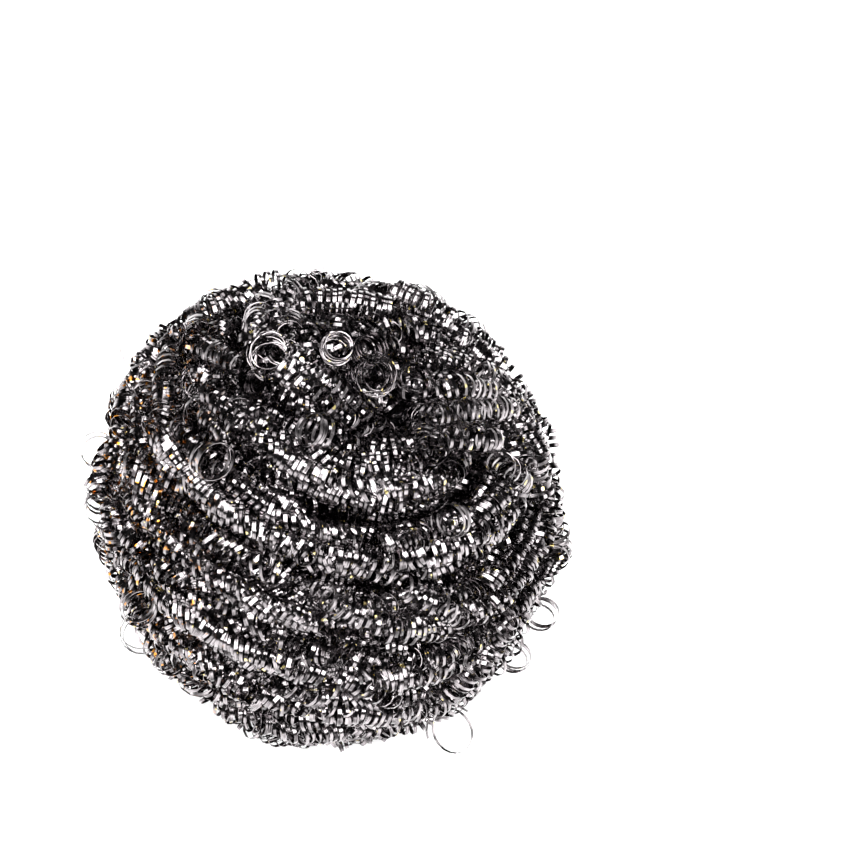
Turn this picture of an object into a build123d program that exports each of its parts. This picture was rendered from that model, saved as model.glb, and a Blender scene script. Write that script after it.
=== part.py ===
from build123d import *
import math
import os

# A pot scrubber: a ball wound from strands of curled flat stainless steel ribbon.
# Millimetres, +Z up, standing on its flattened base, origin under the middle of the ball.
# The strands wind round the ball from the eye at the top to a second eye underneath.

# The ball over the strands, its height as if the eye were closed, and the share of it above its middle
ball_width = 60.4
ball_depth = 54.6
ball_height = 69.6
ball_rise_share = 0.54

# The eye leans to the right of the ball's middle and a little back
eye_shift_x = 10.4
eye_shift_y = 1.4

# Where the ball swells or sinks: a direction, the height in strand diameters and the spread in half turns
swell_shares = (
    ((-0.74, 0.56, 0.37), 0.12, 0.16),
    ((-0.87, -0.41, -0.28), -0.16, 0.16),
)

# The strands
strand_diameter = 7.4
strand_count = 4
strand_loops = 2
quarters_per_loop = 4
strand_sides = 6
eye_ring_radius = 6.5
base_ring_radius = 7.7
strand_flat_share = 0.1

# Where the strands' ends turn in to the middle, the depth as a share of the winding's half height
tuck_radius = 6.8
tuck_depth_share = 0.4487

# The inner winding, under the strands, with a foot down through the lower eye
seat_gap = 0.3
floor_gap = 2.0
core_sides = 12
core_step_count = 8
core_end_share = 0.93
pit_sides = 8
pit_floor_radius = 12.5
pit_mouth_radius = 19.5
foot_radius = 2.5

# The curled ribbon, in open curls that stand out of the strands
ribbon_width = 0.8
ribbon_thickness = 0.3
curl_pitch = 1.5
small_curl = 3.8
middle_curl = 4.4
large_curl = 5.2
tail_curl = 6.4
tail_reach = 3.0

# Curls in the grooves between strands: strand, place along it in loops, diameter and turns
side_curl_shares = (
    (1, 0.12, middle_curl, 2),
    (0, 0.41, large_curl, 2),
    (0, 0.195, middle_curl, 2),
    (3, 0.84, large_curl, 2),
    (2, 1.02, middle_curl, 3),
    (1, 1.145, middle_curl, 2),
    (0, 1.36, small_curl, 3),
    (2, 0.54, middle_curl, 3),
    (1, 0.8, middle_curl, 2),
    (0, 1.05, middle_curl, 2),
    (1, 0.46, small_curl, 2),
    (2, 0.335, small_curl, 3),
    (3, 1.72, large_curl, 2),
)
tail_share = (0, 1.13, tail_curl, 1)

# How finely the winding is sampled to measure its gaps
gap_step_count = 6
gap_skip_diameters = 2

strand_radius = strand_diameter / 2
ball_rise = ball_height * ball_rise_share
ball_centre_z = ball_height - ball_rise
path_radii = Vector(ball_width / 2 - strand_radius, ball_depth / 2 - strand_radius, ball_rise - strand_radius)
rest_z = strand_radius - strand_diameter * strand_flat_share
tuck_depth = path_radii.Z * tuck_depth_share
straight_end = strand_diameter


def lean():
    """The winding's axis on the unit ball, and two directions across it."""
    lean_x, lean_y = eye_shift_x / path_radii.X, eye_shift_y / path_radii.Y
    axis = Vector(lean_x, lean_y, math.sqrt(1 - lean_x**2 - lean_y**2))
    across = (Vector(1, 0, 0) - axis * axis.X).normalized()
    return axis, across, across.cross(axis)


eye_axis, eye_across, eye_along = lean()


def swell(unit):
    """How far the ball swells sideways in a direction, less than nothing where it sinks."""
    total = 0
    for way, height, spread in swell_shares:
        angle = Vector(*way).get_angle(unit) / 180
        total += strand_diameter * height * math.exp(-((angle / spread) ** 2))
    return total


def ball_point(unit):
    """The point where a strand's middle lies in a direction, pressed flat where it would hang below the base."""
    drop = ball_centre_z - rest_z
    if -unit.Z * path_radii.Z <= drop:
        bulge = swell(unit)
        height = ball_centre_z + unit.Z * path_radii.Z
        return Vector(unit.X * (path_radii.X + bulge), unit.Y * (path_radii.Y + bulge), height)
    edge_angle = math.acos(drop / path_radii.Z)
    across = math.hypot(unit.X, unit.Y)
    spread = math.acos(-unit.Z) / edge_angle * math.sin(edge_angle) / across if across else 0
    return Vector(unit.X * path_radii.X * spread, unit.Y * path_radii.Y * spread, rest_z)


eye_pole, base_pole = ball_point(eye_axis), ball_point(-eye_axis)
shaft = (eye_pole - base_pole).normalized()
shaft_across = (eye_across - shaft * eye_across.dot(shaft)).normalized()
shaft_along = shaft_across.cross(shaft)


def rim(across, along, turn):
    """The direction across an axis after a count of turns."""
    spin = 2 * math.pi * turn
    return across * math.cos(spin) + along * math.sin(spin)


def winding_unit(progress, turn):
    """The direction from the ball's centre at a share of the way from eye to eye."""
    girth = (path_radii.X + path_radii.Y) / 2
    stretch = (path_radii.Z - girth) / (2 * (path_radii.Z + girth))
    angle = math.pi * progress + stretch * math.sin(2 * math.pi * progress)
    return eye_axis * math.cos(angle) + rim(eye_across, eye_along, turn) * math.sin(angle)


eye_progress = math.asin(eye_ring_radius / path_radii.X) / math.pi
base_progress = 1 - math.asin(base_ring_radius / path_radii.X) / math.pi


def strand_point(strand, loop):
    """The middle of a strand after a count of loops from the eye."""
    progress = eye_progress + (base_progress - eye_progress) * loop / strand_loops
    return ball_point(winding_unit(progress, loop + strand / strand_count))


def strand_way(strand, loop):
    """The direction that a strand runs in after a count of loops."""
    step = 1 / (quarters_per_loop * core_sides)
    return (strand_point(strand, loop + step) - strand_point(strand, loop - step)).normalized()


def biarc(start, start_way, end, end_way):
    """Two tangent arcs from one point and direction to another."""
    span, ways = end - start, start_way + end_way
    spread, reach = 2 * (1 - start_way.dot(end_way)), span.dot(ways)
    handle = (math.sqrt(reach**2 + spread * span.dot(span)) - reach) / spread
    first, last = start + start_way * handle, end - end_way * handle
    middle = (first + last) / 2
    return [
        Edge.make_tangent_arc(start, start_way, middle),
        Edge.make_tangent_arc(middle, last - first, end),
    ]


def smooth_path(points, ways, straight):
    """A path of biarcs through points with given directions, with a straight run at each end."""
    edges = [Edge.make_line(points[0] - ways[0] * straight, points[0])]
    for index in range(len(points) - 1):
        edges += biarc(points[index], ways[index], points[index + 1], ways[index + 1])
    edges.append(Edge.make_line(points[-1], points[-1] + ways[-1] * straight))
    return edges


def strand_path(strand):
    """A strand's path: up out of the eye, round the ball and up again into the base."""
    quarters = strand_loops * quarters_per_loop
    loops = [quarter / quarters_per_loop for quarter in range(1, quarters)]
    tuck = rim(shaft_across, shaft_along, strand / strand_count) * tuck_radius
    top = eye_pole - shaft * tuck_depth + tuck
    bottom = base_pole + shaft * tuck_depth + tuck
    points = [top] + [strand_point(strand, loop) for loop in loops] + [bottom]
    ways = [shaft] + [strand_way(strand, loop) for loop in loops] + [shaft]
    return smooth_path(points, ways, straight_end)


def samples(edges):
    """Points along a path, with their distances from its start."""
    found, travelled = [], 0
    for edge in edges:
        for step in range(gap_step_count):
            share = step / gap_step_count
            found.append((tuple(edge @ share), travelled + edge.length * share))
        travelled += edge.length
    return found


def least_gap(first, second, thickness, same=False):
    """The least clear distance between two sampled paths, or between the turns of one."""
    return min(
        math.dist(a, b) - thickness
        for a, along_a in first
        for b, along_b in second
        if not same or abs(along_a - along_b) > gap_skip_diameters * thickness
    )


paths = [samples(strand_path(strand)) for strand in range(strand_count)]


def clear_lift(points, way, reach):
    """How far points move in a direction until every strand's middle is a given distance away."""
    lifts = [0]
    for path in paths:
        for sample, _ in path:
            for point in points:
                offset = Vector(sample) - point
                ahead = offset.dot(way)
                aside = math.sqrt(max(0, offset.dot(offset) - ahead**2))
                if aside < reach and offset.length < reach + strand_diameter:
                    lifts.append(ahead + math.sqrt(reach**2 - aside**2))
    return max(lifts)


def outer_strand(strand):
    """One strand, faceted, cut flat where it rests."""
    edges = strand_path(strand)
    section = Plane(origin=edges[0] @ 0, z_dir=edges[0] % 0) * RegularPolygon(strand_radius, strand_sides)
    tube = sweep(section, path=Wire(edges), clean=False)
    return split(tube, bisect_by=Plane.XY, keep=Keep.TOP)


def inner_winding():
    """The packed ribbon that the strands go round, with a pit at each eye and a foot in the lower one."""
    inset = strand_radius + seat_gap
    radii = path_radii - Vector(inset, inset, inset)
    sections = []
    for step in range(core_step_count + 1):
        slope = math.pi / 2 * core_end_share * (2 * step / core_step_count - 1)
        height = max(ball_centre_z + radii.Z * math.sin(slope), rest_z + strand_radius + floor_gap)
        corners = []
        for side in range(core_sides):
            around = rim(Vector(1, 0, 0), Vector(0, 1, 0), side / core_sides)
            unit = around * math.cos(slope) + Vector(0, 0, 1) * math.sin(slope)
            bulge = swell(unit)
            corners.append(Vector(unit.X * (radii.X + bulge), unit.Y * (radii.Y + bulge), height))
        sections.append(make_face(Polyline(*corners, close=True)))
    core = loft(sections, ruled=True)
    depth = tuck_depth + straight_end + seat_gap
    for pole, way in ((eye_pole, shaft), (base_pole, -shaft)):
        floor = Plane(origin=pole - way * depth, x_dir=shaft_across, z_dir=way)
        mouth = floor.offset(depth + strand_radius)
        ends = [
            floor * RegularPolygon(pit_floor_radius, pit_sides),
            mouth * RegularPolygon(pit_mouth_radius, pit_sides),
        ]
        core -= loft(ends, ruled=True)
    foot_top = Plane(origin=base_pole + shaft * (depth + seat_gap), x_dir=shaft_across, z_dir=-shaft)
    core += extrude(foot_top * RegularPolygon(foot_radius, pit_sides), depth + strand_diameter)
    return split(core, bisect_by=Plane.XY, keep=Keep.TOP)


def curl_path(start, axis, across, diameter, turns, end):
    """The path of an open curl that climbs an axis from its start."""
    radius = (diameter - ribbon_thickness) / 2
    along = axis.cross(across)
    rise = curl_pitch / (2 * math.pi * radius)
    points, ways = [], []
    for quarter in range(turns * quarters_per_loop + 1):
        turn = quarter / quarters_per_loop
        points.append(start + axis * curl_pitch * turn + rim(across, along, turn) * radius)
        ways.append((rim(across, along, turn + 1 / quarters_per_loop) + axis * rise).normalized())
    return smooth_path(points, ways, end)


def curl(middle, axis, out, diameter, turns, end=ribbon_width):
    """One curl of flat ribbon seated on the strands, moved out from a point among them."""
    half = axis * curl_pitch * (turns + 1) / 2
    reach = strand_radius + seat_gap + diameter / 2
    lift = clear_lift([middle - half, middle, middle + half], out, reach)
    start = middle + out * lift - axis * curl_pitch * turns / 2
    edges = curl_path(start, axis, out, diameter, turns, end)
    plane = Plane(origin=edges[0] @ 0, x_dir=out, z_dir=edges[0] % 0)
    section = plane * Rectangle(ribbon_thickness, ribbon_width)
    spine = Edge.make_line(start - axis * curl_pitch, start + axis * curl_pitch * (turns + 1))
    gaps.append(least_gap(samples(edges), samples(edges), ribbon_width, same=True))
    return sweep(section, path=Wire(edges), binormal=spine, clean=False)


def groove_curl(strand, loop, diameter, turns, end=ribbon_width):
    """A curl in the groove beside a strand, lying along it."""
    first, second = strand_point(strand, loop), strand_point(strand - 1, loop + 1 / strand_count)
    way = strand_way(strand, loop)
    out = (first - second).cross(way).normalized()
    return curl((first + second) / 2, way, out, diameter, turns, end)


gaps = []
nodes = {f"outer_strand_{strand + 1}": outer_strand(strand) for strand in range(strand_count)}
nodes["inner_winding"] = inner_winding()
for number, place in enumerate(side_curl_shares, 1):
    nodes[f"side_curl_{number}"] = groove_curl(*place)
nodes["loose_tail"] = groove_curl(*tail_share, end=tail_reach)

for strand, path in enumerate(paths):
    own = least_gap(path, path, strand_diameter, same=True)
    others = [round(least_gap(path, other, strand_diameter), 2) for other in paths[:strand]]
    tightest = min(edge.radius for edge in strand_path(strand)[1:-1])
    print(f"strand {strand + 1}: least gap to itself {own:.2f}, to others {others}, tightest bend {tightest:.2f}")
print(f"curls: least gap to themselves {min(gaps):.2f}")

os.makedirs("parts", exist_ok=True)
for name, solid in nodes.items():
    export_step(solid, f"parts/{name}.step")
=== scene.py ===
"""A stainless steel pot scrubber: ropes of curled flat ribbon wound into a ball.

Sizes are in millimetres and become metres where a mesh is made. The ropes follow the same
winding as the part's source, from the eye at the top to a second eye underneath.
"""

import logging
import math
from dataclasses import dataclass, field
from enum import Enum
from typing import Iterable, Sequence

import bpy
import numpy as np
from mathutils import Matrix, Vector

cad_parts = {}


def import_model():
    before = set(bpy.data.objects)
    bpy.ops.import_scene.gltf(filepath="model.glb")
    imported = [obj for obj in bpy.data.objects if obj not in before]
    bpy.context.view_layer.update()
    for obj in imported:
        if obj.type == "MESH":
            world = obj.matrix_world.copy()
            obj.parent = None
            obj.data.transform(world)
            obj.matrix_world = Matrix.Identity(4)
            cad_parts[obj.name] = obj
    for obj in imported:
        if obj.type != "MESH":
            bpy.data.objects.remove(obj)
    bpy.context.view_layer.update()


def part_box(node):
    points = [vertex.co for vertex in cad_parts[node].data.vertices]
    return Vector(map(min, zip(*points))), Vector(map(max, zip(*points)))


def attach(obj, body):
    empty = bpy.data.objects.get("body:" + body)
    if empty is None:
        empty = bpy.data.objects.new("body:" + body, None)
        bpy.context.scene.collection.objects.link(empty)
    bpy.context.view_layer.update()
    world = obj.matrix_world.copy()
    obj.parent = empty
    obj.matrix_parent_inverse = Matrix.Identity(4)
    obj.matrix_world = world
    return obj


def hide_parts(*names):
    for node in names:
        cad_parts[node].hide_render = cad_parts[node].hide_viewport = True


LOG = logging.getLogger("pot_scrubber")
MM = 0.001
# The ribbon's four edges: the side across it and the face that each lies on
EDGES = ((1, 1), (-1, 1), (-1, -1), (1, -1))
SECTION = len(EDGES)
# The strips that the four side faces of a stretch take in its cell of the UV map OFBake
STRIPS = ((0.04, 0.45), (0.47, 0.50), (0.52, 0.93), (0.95, 0.98))
STRIP_ENDS = (0.06, 0.94)
CAP_ENDS = (0.1, 0.9)


def linear(hex_colour: str, alpha: float = 1.0) -> tuple[float, float, float, float]:
    """Turns an sRGB hex colour into linear values.

    Args:
        hex_colour: Six hexadecimal digits after a hash.
        alpha: The fourth value.

    Returns:
        Red, green, blue and alpha, linear.
    """
    parts = [int(hex_colour[i:i + 2], 16) / 255 for i in (1, 3, 5)]
    red, green, blue = (c / 12.92 if c <= 0.04045 else ((c + 0.055) / 1.055) ** 2.4 for c in parts)
    return red, green, blue, alpha


def unit(vectors: np.ndarray) -> np.ndarray:
    """Scales vectors to length one, along the last axis."""
    return vectors / np.maximum(np.linalg.norm(vectors, axis=-1, keepdims=True), 1e-9)


def across(vectors: np.ndarray, ways: np.ndarray) -> np.ndarray:
    """The part of each vector that is square to its way, at length one."""
    return unit(vectors - ways * np.sum(vectors * ways, axis=-1, keepdims=True))


def ease(share: np.ndarray) -> np.ndarray:
    """A share from 0 to 1 that starts and ends gently."""
    return share * share * (3 - 2 * share)


def distances(points: np.ndarray) -> np.ndarray:
    """How far along a line each of its points lies."""
    return np.concatenate([[0], np.cumsum(np.linalg.norm(np.diff(points, axis=0), axis=1))])


def between(places: np.ndarray, known: np.ndarray, rows: np.ndarray) -> np.ndarray:
    """Reads rows of three values at places between the known ones."""
    return np.stack([np.interp(places, known, rows[:, i]) for i in range(3)], axis=1)


@dataclass(frozen=True)
class Wander:
    """A smooth random change along a line.

    Attributes:
        step: The distance between its random values.
        size: How far one spread of it goes.
    """

    step: float
    size: float = 1.0

    def along(self, rng: np.random.Generator, places: np.ndarray) -> np.ndarray:
        """Draws the change and reads it.

        Args:
            rng: The seeded random numbers.
            places: Where it is read, from zero upwards.

        Returns:
            One value for each place, about zero.
        """
        knots = rng.standard_normal(int(places.max() / self.step) + 3)
        index = np.clip((places / self.step).astype(int), 0, len(knots) - 2)
        share = ease(places / self.step - index)
        return self.size * (knots[index] * (1 - share) + knots[index + 1] * share)


def add(
    tree: bpy.types.NodeTree, kind: str, values: dict | None = None, **settings: object
) -> bpy.types.Node:
    """Adds a node with its settings, values and links.

    Args:
        tree: The node tree.
        kind: The node's type.
        values: For each input, a value or the output socket that feeds it.
        **settings: The node's own properties.

    Returns:
        The new node.
    """
    node = tree.nodes.new(kind)
    for name, setting in settings.items():
        setattr(node, name, setting)
    for name, value in (values or {}).items():
        if isinstance(value, bpy.types.NodeSocket):
            tree.links.new(value, node.inputs[name])
        else:
            node.inputs[name].default_value = value
    return node


def blank(name: str) -> bpy.types.Material:
    """A new material that has no nodes yet."""
    made = bpy.data.materials.new(name)
    made.use_nodes = True
    made.node_tree.nodes.clear()
    return made


def linked(name: str, data: bpy.types.ID) -> bpy.types.Object:
    """A new object of a mesh, lamp or camera, linked to the scene."""
    piece = bpy.data.objects.new(name, data)
    bpy.context.scene.collection.objects.link(piece)
    return piece


@dataclass
class Rope:
    """The middle line of a rope or of a row of curls.

    Attributes:
        points: Its points, evenly spaced.
        ways: The direction it runs in at each point.
        outs: The side that faces away from the ball at each point.
        places: The distance of each point from the start.
    """

    points: np.ndarray
    ways: np.ndarray
    outs: np.ndarray
    places: np.ndarray

    def at(self, places: np.ndarray) -> tuple[np.ndarray, np.ndarray, np.ndarray]:
        """Reads the rope at distances from its start.

        Args:
            places: The distances.

        Returns:
            Points, directions and outward sides.
        """
        points, ways, outs = (
            between(places, self.places, rows) for rows in (self.points, self.ways, self.outs)
        )
        ways = unit(ways)
        return points, ways, across(outs, ways)

    def gap(self, line: np.ndarray) -> float:
        """How far the middle of another line lies from this one."""
        return float(np.linalg.norm(self.points - line[len(line) // 2], axis=1).min())


@dataclass
class BallForm:
    """The ball that the ropes wind round, as the part's source has it.

    Attributes:
        width: The wound ball's size from left to right.
        depth: Its size from front to back.
        height: Its size from the base to the top.
        rise: The distance from its widest level to its top.
        eye_shift_x: How far right of the middle the eye at the top lies.
        eye_shift_y: How far behind the middle it lies.
        rope_diameter: A rope's diameter.
        rope_count: How many ropes there are.
        loops: How many times each goes round.
        eye_ring: How far from the eye at the top the ropes' middles start.
        base_ring: How far from the eye underneath they end.
        flat_share: How much of a rope's diameter is pressed flat where it rests.
        tuck_radius: How far apart the ropes' ends stay in the eyes.
        tuck_depth: How deep they lie there.
        tucked_skip: The loops that a rope's line leaves off at each end, before its bends.
        open_skip: The same for a line with no bends.
        sink_from: How much the change of a line's sink is put off on its way down.
        sink_slope: How fast it then goes.
        rope_steps: How many points a line has between its bends.
        bend_steps: How many points a bend has.
        bend_reach: How wide a bend swings, as a share of the gap that it closes.
        rest_softness: How far above the ground the curls start to be pressed.
        rest_clear: How far above it the lowest curl stays.
        view_elevation: How far above the horizon the photograph looks from.
        seen_share: How near the outline a seen place can lie.
        swells: Where the ball swells or sinks sideways, how far, and how wide.
    """

    width: float = 60.4
    depth: float = 54.6
    height: float = 69.6
    rise: float = 37.58
    eye_shift_x: float = 10.4
    eye_shift_y: float = 1.4
    rope_diameter: float = 7.4
    rope_count: int = 4
    loops: int = 2
    eye_ring: float = 6.5
    base_ring: float = 7.7
    flat_share: float = 0.1
    tuck_radius: float = 6.8
    tuck_depth: float = 15.2
    tucked_skip: tuple[float, float] = (0.25, 0.25)
    open_skip: tuple[float, float] = (0.06, 0.1)
    sink_from: float = 0.55
    sink_slope: float = 1.8
    rope_steps: int = 1600
    bend_steps: int = 220
    bend_reach: float = 1.25
    rest_softness: float = 1.1
    rest_clear: float = 0.12
    view_elevation: float = 56
    seen_share: float = 0.985
    swells: tuple[tuple[tuple[float, float, float], float, float], ...] = (
        ((-0.74, 0.56, 0.37), 0.89, 0.16),
        ((-0.87, -0.41, -0.28), -1.18, 0.16),
    )
    radii: np.ndarray = field(init=False)
    centre: np.ndarray = field(init=False)
    axis: np.ndarray = field(init=False)
    side: np.ndarray = field(init=False)
    along: np.ndarray = field(init=False)

    def __post_init__(self) -> None:
        """Works out the radii of the winding and the axis that it leans to."""
        radius = self.rope_diameter / 2
        self.radii = np.array([self.width / 2, self.depth / 2, self.rise]) - radius
        self.centre = np.array([0, 0, self.height - self.rise])
        lean = np.array([self.eye_shift_x / self.radii[0], self.eye_shift_y / self.radii[1]])
        self.axis = np.array([lean[0], lean[1], math.sqrt(1 - lean @ lean)])
        self.side = across(np.array([1.0, 0, 0]), self.axis)
        self.along = np.cross(self.side, self.axis)

    @property
    def rest_z(self) -> float:
        """The height of a rope's middle where it rests."""
        return self.rope_diameter * (0.5 - self.flat_share)

    @property
    def view(self) -> np.ndarray:
        """The direction that the photograph looks from."""
        lift = math.radians(self.view_elevation)
        return np.array([0, -math.cos(lift), math.sin(lift)])

    def rim(self, turns: np.ndarray) -> np.ndarray:
        """The directions across the axis after counts of turns."""
        spin = 2 * np.pi * np.asarray(turns)[..., None]
        return self.side * np.cos(spin) + self.along * np.sin(spin)

    def surface(self, units: np.ndarray, sink: float | np.ndarray = 0) -> np.ndarray:
        """Where a rope's middle lies in each direction, pressed flat at the base.

        Args:
            units: Directions from the ball's middle.
            sink: How far below the winding.

        Returns:
            The points.
        """
        sinks = np.broadcast_to(sink, len(units))
        radii = self.radii - sinks[:, None]
        swell = self.swell(units)
        points = self.centre + units * (radii + swell[:, None] * [1, 1, 0])
        drop = self.centre[2] - self.rest_z - sinks
        low = points[:, 2] < self.centre[2] - drop
        edge = np.arccos(np.minimum(1, drop / radii[:, 2]))
        level = np.hypot(units[:, 0], units[:, 1])
        angle = np.arccos(np.clip(-units[:, 2], -1, 1))
        spread = angle / np.maximum(edge, 1e-6) * np.sin(edge) / np.maximum(level, 1e-6)
        reach = units[:, :2] * radii[:, :2] * spread[:, None]
        flat = np.column_stack([reach, self.centre[2] - drop])
        return np.where(low[:, None], flat, points)

    def swell(self, units: np.ndarray) -> np.ndarray:
        """How far the ball swells sideways in each direction, less than nothing where it sinks."""
        total = np.zeros(len(units))
        for way, height, spread in self.swells:
            angle = np.arccos(np.clip(units @ unit(np.array(way)), -1, 1)) / np.pi
            total += height * np.exp(-((angle / spread) ** 2))
        return total

    def winding(self, rope: float, loops: np.ndarray, sink: float | np.ndarray = 0) -> np.ndarray:
        """The middle of a rope after counts of loops from the eye.

        Args:
            rope: Which rope; a half lies in the groove after it.
            loops: The counts of loops.
            sink: How far below the winding.

        Returns:
            The points.
        """
        start = math.asin(self.eye_ring / self.radii[0]) / math.pi
        end = 1 - math.asin(self.base_ring / self.radii[0]) / math.pi
        progress = start + (end - start) * loops / self.loops
        girth = (self.radii[0] + self.radii[1]) / 2
        stretch = (self.radii[2] - girth) / (2 * (self.radii[2] + girth))
        angle = np.pi * progress + stretch * np.sin(2 * np.pi * progress)
        turns = loops + rope / self.rope_count
        units = self.axis * np.cos(angle)[:, None] + self.rim(turns) * np.sin(angle)[:, None]
        return self.surface(units, sink)

    def outward(self, points: np.ndarray) -> np.ndarray:
        """The direction away from the ball at each point."""
        return unit((points - self.centre) / self.radii**2)

    def rope(self, rope: float, sink: tuple[float, float] = (0, 0), tucked: bool = True) -> Rope:
        """A rope's line, with its ends tucked into the two eyes.

        Args:
            rope: Which rope.
            sink: How far below the winding at the top and at the base.
            tucked: Whether the ends turn in to the middle.

        Returns:
            The line.
        """
        skip = self.tucked_skip if tucked else self.open_skip
        loops = np.linspace(skip[0], self.loops - skip[1], self.rope_steps)
        share = np.clip(loops / self.loops * self.sink_slope - self.sink_from, 0, 1)
        body = self.winding(rope, loops, sink[0] + (sink[1] - sink[0]) * share)
        outs = self.outward(body)
        if tucked:
            body, outs = self.tuck(rope, body, outs)
        return Rope(body, unit(np.gradient(body, axis=0)), outs, distances(body))

    def tuck(self, rope: float, body: np.ndarray, outs: np.ndarray) -> tuple[np.ndarray, np.ndarray]:
        """Turns the ends of a rope's line in to the two eyes.

        Args:
            rope: Which rope.
            body: The points of its line on the ball.
            outs: The side that faces away from the ball at each.

        Returns:
            The points and outward sides of the whole line.
        """
        poles = self.surface(np.stack([self.axis, -self.axis]))
        shaft = unit(poles[0] - poles[1])
        level = across(self.side, shaft)
        spin = 2 * math.pi * rope / self.rope_count
        tuck = (level * math.cos(spin) + np.cross(level, shaft) * math.sin(spin)) * self.tuck_radius
        top = poles[0] - shaft * self.tuck_depth + tuck
        bottom = poles[1] + shaft * self.tuck_depth + tuck
        ways = unit(np.gradient(body, axis=0))
        first = self.bend(top, shaft, body[0], ways[0])[:-1]
        last = self.bend(body[-1], ways[-1], bottom, shaft)[1:]
        body = np.concatenate([first, body, last])
        outs = np.concatenate([np.repeat(outs[:1], len(first), 0), outs, np.repeat(outs[-1:], len(last), 0)])
        ways = unit(np.gradient(body, axis=0))
        for index in range(len(first) - 1, -1, -1):
            outs[index] = across(outs[index + 1], ways[index])
        for index in range(len(body) - len(last), len(body)):
            outs[index] = across(outs[index - 1], ways[index])
        return body, outs

    def bend(self, start: np.ndarray, way: np.ndarray, end: np.ndarray, end_way: np.ndarray) -> np.ndarray:
        """A smooth bend between two points with given directions."""
        share = np.linspace(0, 1, self.bend_steps)[:, None]
        reach = np.linalg.norm(end - start) * self.bend_reach
        return (
            (2 * share**3 - 3 * share**2 + 1) * start
            + (share**3 - 2 * share**2 + share) * way * reach
            + (3 * share**2 - 2 * share**3) * end
            + (share**3 - share**2) * end_way * reach
        )

    def seen(self, right: float, up: float) -> tuple[np.ndarray, np.ndarray]:
        """The place on the ball that is seen at a distance from its middle, as in the photograph.

        Args:
            right: How far right of the middle.
            up: How far above it.

        Returns:
            The place and the direction away from the ball there.
        """
        back = self.view
        offset = np.array([right, 0, 0]) + up * np.array([0, back[2], -back[1]])
        radii = self.radii + self.rope_diameter / 2
        near, far = (back / radii) @ (back / radii), (back / radii) @ (offset / radii)
        over = (offset / radii) @ (offset / radii) - far**2 / near
        if over > self.seen_share**2:
            offset = offset * self.seen_share / math.sqrt(over)
            far, over = (back / radii) @ (offset / radii), self.seen_share**2
        reach = (-far + math.sqrt(near * (1 - over))) / near
        place = self.centre + offset + back * reach
        return place, unit((place - self.centre) / radii**2)

    def settle(self, points: np.ndarray) -> np.ndarray:
        """Presses points on to what the ball rests on.

        Args:
            points: Points of the round ball.

        Returns:
            The same points, moved.
        """
        moved = points.copy()
        soft = self.rest_softness - self.rest_clear
        low = moved[:, 2] < self.rest_softness
        moved[low, 2] = self.rest_clear + soft * np.exp((moved[low, 2] - self.rest_softness) / soft)
        return moved


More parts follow.
